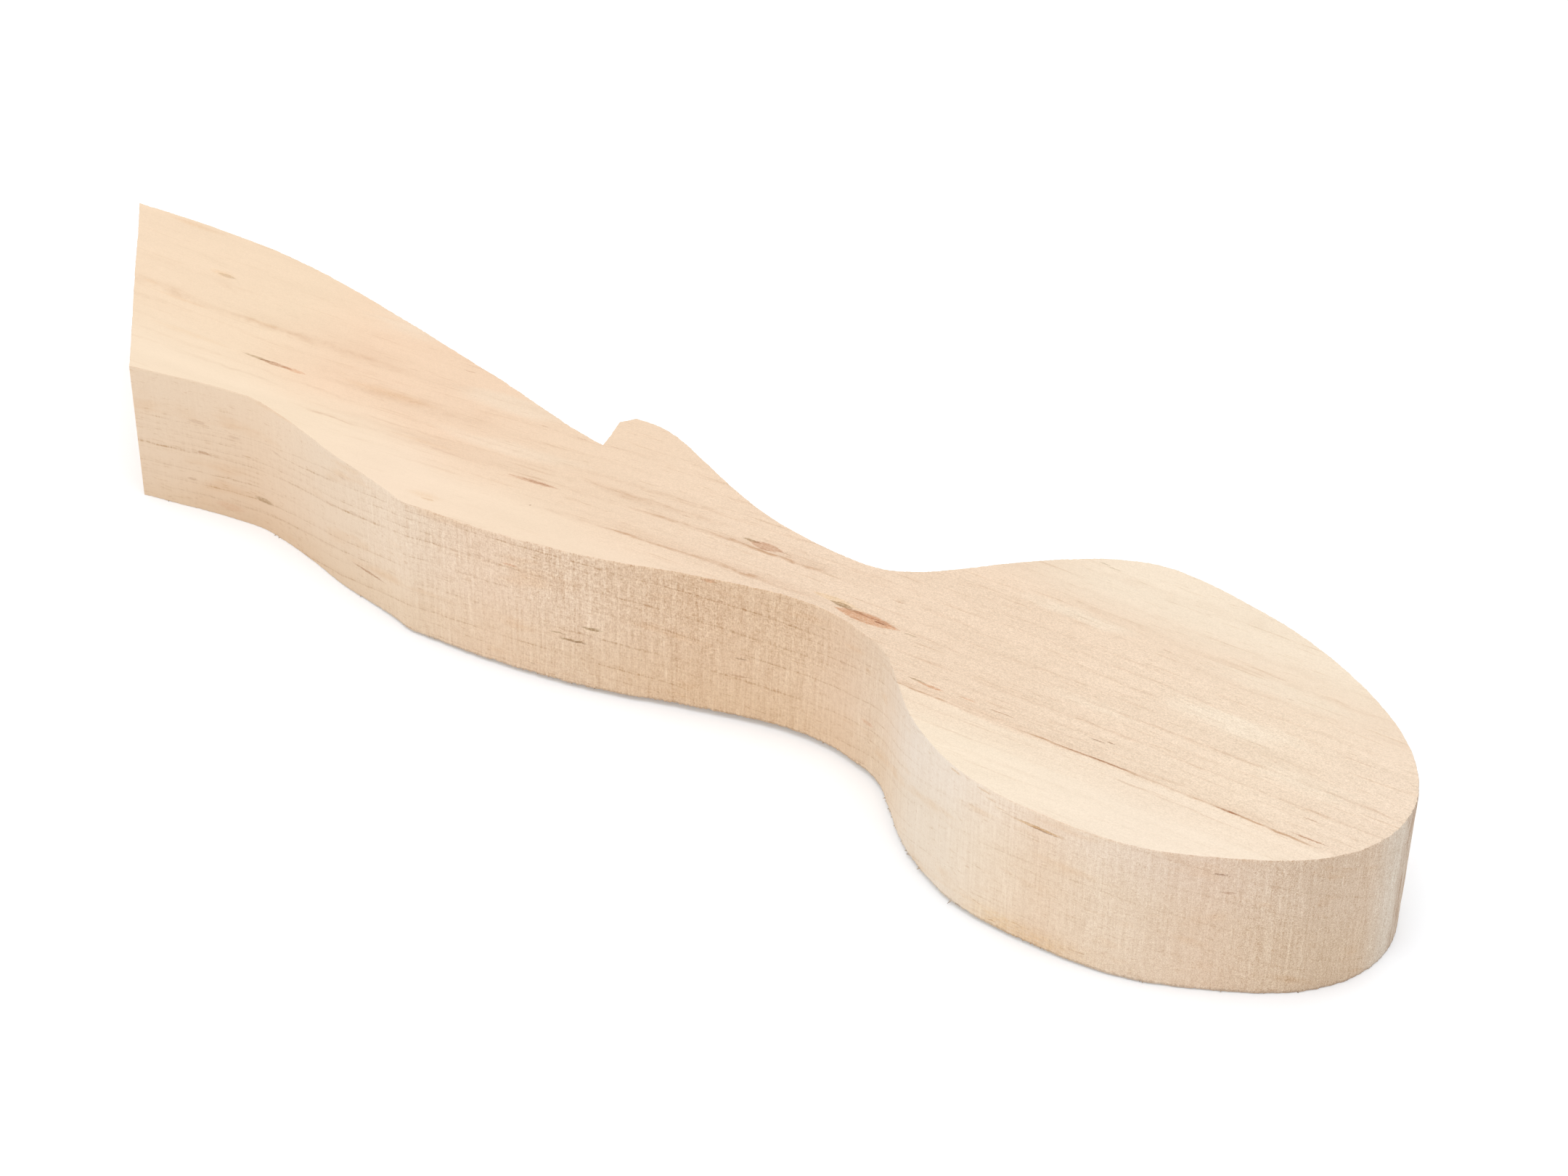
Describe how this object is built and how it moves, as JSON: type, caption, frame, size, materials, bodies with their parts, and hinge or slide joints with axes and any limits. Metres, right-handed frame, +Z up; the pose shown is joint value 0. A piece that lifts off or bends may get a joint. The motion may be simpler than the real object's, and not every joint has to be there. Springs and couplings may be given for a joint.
{
  "type": "spoon carving blank",
  "caption": "Flat slab of pale wood bandsawn to a spoon's outline with a thumb notch, ready to be carved into a spoon.",
  "frame": {"origin": "middle of the outline's bounding box, on the lower planed face that the blank lies on", "axes": "+X along the spoon from the sawn tail of the handle to the tip of the bowl, +Y across it towards the edge with the thumb notch, +Z up through the board's thickness"},
  "size_m": [0.2312, 0.0545, 0.025],
  "materials": {
    "wood": "raw pale hardwood, planed on both faces and bandsawn round the outline, unfinished and matt"
  },
  "bodies": {
    "root": {"spoon_blank": "wood"}
  },
  "joints": []
}
